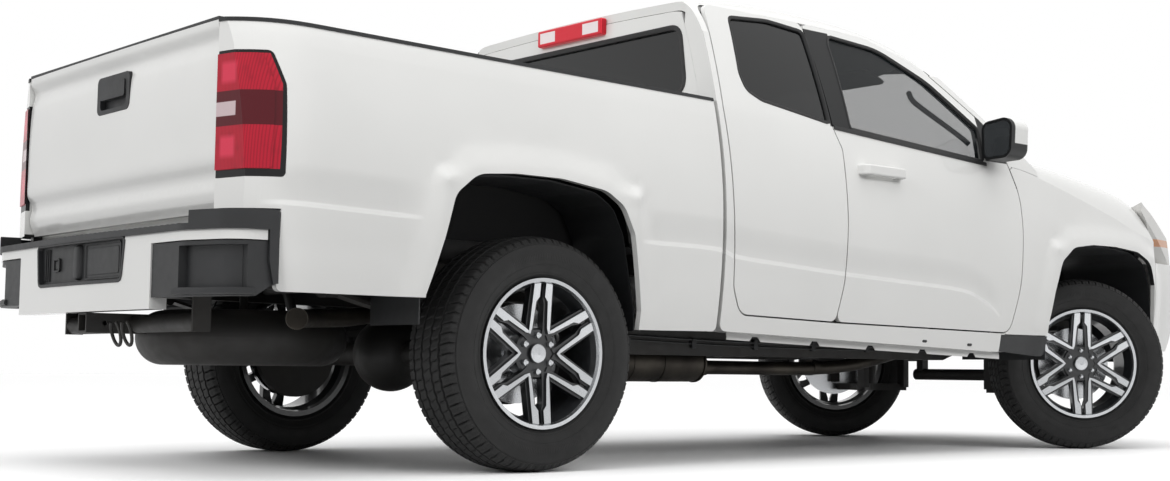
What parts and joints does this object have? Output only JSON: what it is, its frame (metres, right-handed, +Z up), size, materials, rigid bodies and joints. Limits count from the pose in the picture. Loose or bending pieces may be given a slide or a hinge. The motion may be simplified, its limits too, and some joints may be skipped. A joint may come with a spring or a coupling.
{
  "type": "extended-cab pickup truck",
  "caption": "Extended-cab pickup truck with an open load box, opening doors, hood and tailgate, and steered front wheels.",
  "frame": {"origin": "on the ground, halfway between the bumpers and on the middle line of the truck", "axes": "+X towards the front of the truck, +Y towards its left side, +Z up"},
  "size_m": [5.3895, 2.1936, 1.79],
  "materials": {
    "body_paint": "white enamel under clear coat",
    "chassis_black": "satin black chassis coating",
    "cast_metal": "as cast",
    "bare_steel": "bare steel",
    "exhaust_steel": "heat-dulled steel",
    "black_plastic": "grained black polypropylene",
    "rubber": "plain",
    "tyre": "moulded rubber",
    "wheel_alloy": "machined faces",
    "glass": "tinted safety glass",
    "lamp_clear": "clear moulded lens",
    "lamp_red": "red moulded lens",
    "seat_fabric": "woven seat cloth"
  },
  "bodies": {
    "root": {"bedsides": "body_paint", "box_floor": "body_paint", "box_rail_caps": "black_plastic", "box_sills": "chassis_black", "cab_back": "body_paint", "cab_floor": "chassis_black", "cab_mounts": "rubber", "cab_sides": "body_paint", "cowl": "black_plastic", "dashboard": "black_plastic", "driveshaft": "bare_steel", "engine_and_gearbox": "cast_metal", "exhaust": "exhaust_steel", "fixed_glass": "glass", "frame_crossmembers": "chassis_black", "frame_rails": "chassis_black", "front_bumper": "body_paint", "front_fenders": "body_paint", "front_suspension": "chassis_black", "fuel_tank": "black_plastic", "grille": "black_plastic", "headlamps": "lamp_clear", "hitch_receiver": "chassis_black", "leaf_springs": "chassis_black", "radiator": "chassis_black", "rear_axle": "chassis_black", "rear_bumper": "body_paint", "rear_bumper_pads": "black_plastic", "rear_lamps": "lamp_red", "roof": "body_paint", "seats": "seat_fabric", "shock_absorbers": "bare_steel", "spare_wheel": "tyre", "steering_wheel": "black_plastic", "wheel_liners": "black_plastic"},
    "door_front_left": {"door_front_left_glass": "glass", "door_front_left_shell": "body_paint"},
    "door_front_right": {"door_front_right_glass": "glass", "door_front_right_shell": "body_paint"},
    "door_rear_left": {"door_rear_left_glass": "glass", "door_rear_left_shell": "body_paint"},
    "door_rear_right": {"door_rear_right_glass": "glass", "door_rear_right_shell": "body_paint"},
    "hood": {"hood": "body_paint"},
    "knuckle_left": {"knuckle_left": "cast_metal"},
    "knuckle_right": {"knuckle_right": "cast_metal"},
    "wheel_front_left": {"rim_front_left": "wheel_alloy", "tyre_front_left": "tyre"},
    "wheel_front_right": {"rim_front_right": "wheel_alloy", "tyre_front_right": "tyre"},
    "wheel_rear_left": {"rim_rear_left": "wheel_alloy", "tyre_rear_left": "tyre"},
    "wheel_rear_right": {"rim_rear_right": "wheel_alloy", "tyre_rear_right": "tyre"},
    "tailgate": {"tailgate": "body_paint", "tailgate_trim": "black_plastic"}
  },
  "joints": [
    {"name": "door_front_right_hinge", "type": "hinge", "parent": "root", "child": "door_front_right", "pos_m": [1.166, -0.928, 0.85], "axis": [0, 0, 1], "range_deg": [0, 68]},
    {"name": "door_front_left_hinge", "type": "hinge", "parent": "root", "child": "door_front_left", "pos_m": [1.166, 0.928, 0.85], "axis": [0, 0, -1], "range_deg": [0, 68]},
    {"name": "door_rear_right_hinge", "type": "hinge", "parent": "root", "child": "door_rear_right", "pos_m": [-0.652, -0.928, 0.85], "axis": [0, 0, -1], "range_deg": [0, 80]},
    {"name": "door_rear_left_hinge", "type": "hinge", "parent": "root", "child": "door_rear_left", "pos_m": [-0.652, 0.928, 0.85], "axis": [0, 0, 1], "range_deg": [0, 80]},
    {"name": "hood_hinge", "type": "hinge", "parent": "root", "child": "hood", "pos_m": [1.32, 0, 1.244], "axis": [0, -1, 0], "range_deg": [0, 48]},
    {"name": "tailgate_hinge", "type": "hinge", "parent": "root", "child": "tailgate", "pos_m": [-2.546, 0, 0.808], "axis": [0, -1, 0], "range_deg": [0, 90]},
    {"name": "steer_left", "type": "hinge", "parent": "root", "child": "knuckle_left", "pos_m": [1.7665, 0.735, 0.387], "axis": [0, 0, 1], "range_deg": [0, 74]},
    {"name": "steer_right", "type": "hinge", "parent": "root", "child": "knuckle_right", "pos_m": [1.7665, -0.735, 0.387], "axis": [0, 0, 1], "range_deg": [0, 74]},
    {"name": "roll_front_right", "type": "hinge", "parent": "knuckle_right", "child": "wheel_front_right", "pos_m": [1.73129, -0.78172, 0.387], "axis": [0.6018, 0.7986, 0], "continuous": true},
    {"name": "roll_rear_right", "type": "hinge", "parent": "root", "child": "wheel_rear_right", "pos_m": [-1.4925, -0.7935, 0.387], "axis": [0, 1, 0], "continuous": true},
    {"name": "roll_front_left", "type": "hinge", "parent": "knuckle_left", "child": "wheel_front_left", "pos_m": [1.80171, 0.78172, 0.387], "axis": [0.6018, 0.7986, 0], "continuous": true},
    {"name": "roll_rear_left", "type": "hinge", "parent": "root", "child": "wheel_rear_left", "pos_m": [-1.4925, 0.7935, 0.387], "axis": [0, 1, 0], "continuous": true}
  ],
  "couplings": [
    {"joint": "steer_right", "follows": "steer_left", "ratio": 1}
  ]
}
